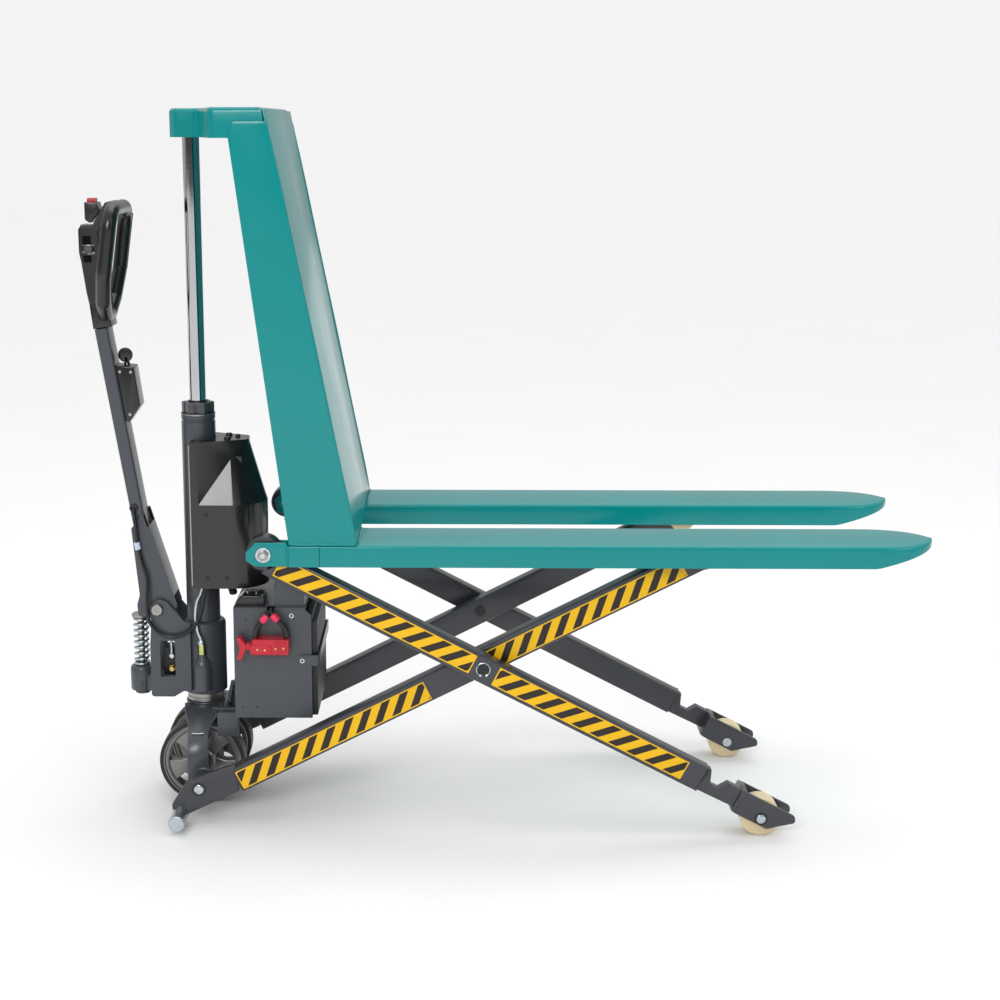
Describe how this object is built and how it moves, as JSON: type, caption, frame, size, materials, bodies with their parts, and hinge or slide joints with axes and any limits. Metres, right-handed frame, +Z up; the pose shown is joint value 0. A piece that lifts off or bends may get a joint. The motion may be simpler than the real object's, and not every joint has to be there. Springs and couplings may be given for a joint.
{
  "type": "electric high-lift pallet truck",
  "caption": "High-lift pallet truck with a scissor frame under two channel forks, an upright lifting cylinder, a steering tiller with hand pump, and a battery with an electric pump.",
  "frame": {"origin": "centre of the footprint on the floor", "axes": "+X towards the fork tips, +Y to the right of the truck as seen from the forks' tips looking back, +Z up"},
  "size_m": [1.698, 0.562, 1.434],
  "materials": {
    "chassis": "satin grey paint",
    "legs": "satin dark grey paint",
    "teal": "glossy teal paint",
    "steel": "bright machined steel",
    "chrome": "polished hard chrome",
    "aluminium": "cast aluminium",
    "black_plastic": "textured black plastic",
    "grip": "soft grained black plastic",
    "rubber": "dark rubber",
    "polyurethane": "cream polyurethane",
    "red": "red plastic",
    "cable": "black cable sheath"
  },
  "bodies": {
    "chassis": {"yoke": "chassis", "thrust_bearing": "steel", "chassis_pivot_pin_left": "steel", "chassis_pivot_pin_right": "steel", "battery_box": "chassis", "battery_cover": "chassis", "battery": "black_plastic", "relay": "black_plastic", "battery_strap": "legs", "battery_connector": "red", "battery_leads": "cable"},
    "steering_unit": {"cylinder_tube": "chassis", "gland_nut": "chassis", "pump_housing": "chassis", "steer_axle": "chassis", "power_unit": "black_plastic", "power_cover": "black_plastic", "pressure_pipe": "steel", "valve_block": "black_plastic", "tiller_pin": "steel", "control_cable": "cable"},
    "wheel_left": {"steer_wheel_rim_left": "aluminium", "steer_wheel_tread_left": "rubber"},
    "wheel_right": {"steer_wheel_rim_right": "aluminium", "steer_wheel_tread_right": "rubber"},
    "tiller": {"tiller_bracket": "chassis", "tiller_tube": "chassis", "tiller_handle": "grip", "switch_housing": "black_plastic", "key_box": "black_plastic"},
    "button": {"lift_button": "red"},
    "lever": {"lowering_lever": "chassis"},
    "ignition_key": {"key": "black_plastic"},
    "pump_plunger": {"pump_piston": "steel", "pump_spring": "steel"},
    "ram": {"ram_rod": "chrome"},
    "inner_legs": {"inner_leg_left": "legs", "inner_leg_right": "legs", "stabiliser_foot_left": "steel", "stabiliser_foot_right": "steel", "scissor_pin_left": "steel", "scissor_pin_right": "steel"},
    "upper_roller_left": {"fork_roller_left": "polyurethane"},
    "upper_roller_right": {"fork_roller_right": "polyurethane"},
    "outer_legs": {"outer_leg_left": "legs", "outer_leg_right": "legs", "load_roller_axle_left": "steel", "load_roller_axle_right": "steel"},
    "load_wheel_left": {"load_roller_left": "polyurethane"},
    "load_wheel_right": {"load_roller_right": "polyurethane"},
    "fork_frame": {"fork_left": "teal", "fork_right": "teal", "mast_side_left": "teal", "mast_side_right": "teal", "backrest": "teal", "crosshead": "teal", "lift_pivot_bolt_left": "steel", "lift_pivot_bolt_right": "steel"}
  },
  "joints": [
    {"name": "steering", "type": "hinge", "parent": "chassis", "child": "steering_unit", "pos_m": [-0.621, 0, 0.216], "axis": [0, 0, 1], "range_deg": [-90, 90]},
    {"name": "steer_wheel_left_spin", "type": "hinge", "parent": "steering_unit", "child": "wheel_left", "pos_m": [-0.621, -0.06, 0.09], "axis": [0, 1, 0], "continuous": true},
    {"name": "steer_wheel_right_spin", "type": "hinge", "parent": "steering_unit", "child": "wheel_right", "pos_m": [-0.621, 0.06, 0.09], "axis": [0, 1, 0], "continuous": true},
    {"name": "tiller_pivot", "type": "hinge", "parent": "steering_unit", "child": "tiller", "pos_m": [-0.711, 0, 0.413], "axis": [0, -1, 0], "range_deg": [0, 75], "stiffness_Nm_per_rad": 20, "springref_deg": -57.3, "deforming": ["control_cable"]},
    {"name": "pump_stroke", "type": "slide", "parent": "steering_unit", "child": "pump_plunger", "axis": [0, 0, 1], "range_m": [-0.04, 0], "deforming": ["pump_spring"]},
    {"name": "lift_button_press", "type": "slide", "parent": "tiller", "child": "button", "axis": [0, 0, -1], "range_m": [0, 0.004], "stiffness_N_per_m": 400, "springref_m": -0.002},
    {"name": "lowering_lever_pull", "type": "hinge", "parent": "tiller", "child": "lever", "pos_m": [-0.823, 0, 1.156], "axis": [0, 1, 0], "range_deg": [-12, 12], "stiffness_Nm_per_rad": 0.6},
    {"name": "key_turn", "type": "hinge", "parent": "tiller", "child": "ignition_key", "pos_m": [-0.7625, 0, 0.9111], "axis": [-0.1564, 0, 0.9877], "range_deg": [0, 90]},
    {"name": "lift", "type": "hinge", "parent": "chassis", "child": "inner_legs", "pos_m": [-0.611, 0, 0.077], "axis": [0, -1, 0], "range_deg": [-26.95, 11.7]},
    {"name": "upper_roller_left_spin", "type": "hinge", "parent": "inner_legs", "child": "upper_roller_left", "pos_m": [0.4015, -0.149, 0.5696], "axis": [0, 1, 0], "continuous": true},
    {"name": "upper_roller_right_spin", "type": "hinge", "parent": "inner_legs", "child": "upper_roller_right", "pos_m": [0.4015, 0.149, 0.5696], "axis": [0, 1, 0], "continuous": true},
    {"name": "scissor", "type": "hinge", "parent": "inner_legs", "child": "outer_legs", "pos_m": [-0.034, 0, 0.3515], "axis": [0, 1, 0], "range_deg": [-54.35, 23.65]},
    {"name": "load_roller_left_spin", "type": "hinge", "parent": "outer_legs", "child": "load_wheel_left", "pos_m": [0.525, -0.224, 0.04], "axis": [0, 1, 0], "continuous": true},
    {"name": "load_roller_right_spin", "type": "hinge", "parent": "outer_legs", "child": "load_wheel_right", "pos_m": [0.525, 0.224, 0.04], "axis": [0, 1, 0], "continuous": true},
    {"name": "fork_level", "type": "hinge", "parent": "outer_legs", "child": "fork_frame", "pos_m": [-0.463, 0, 0.585], "axis": [0, -1, 0], "range_deg": [-27.4, 11.95]},
    {"name": "ram_stroke", "type": "slide", "parent": "steering_unit", "child": "ram", "axis": [0, 0, 1], "range_m": [-0.4945, 0.2145]}
  ],
  "couplings": [
    {"joint": "pump_stroke", "follows": "tiller_pivot", "m_per_rad": -0.03},
    {"joint": "scissor", "follows": "lift", "ratio": 2.015},
    {"joint": "fork_level", "follows": "lift", "ratio": 1.015},
    {"joint": "ram_stroke", "follows": "lift", "m_per_rad": 1.0485}
  ]
}
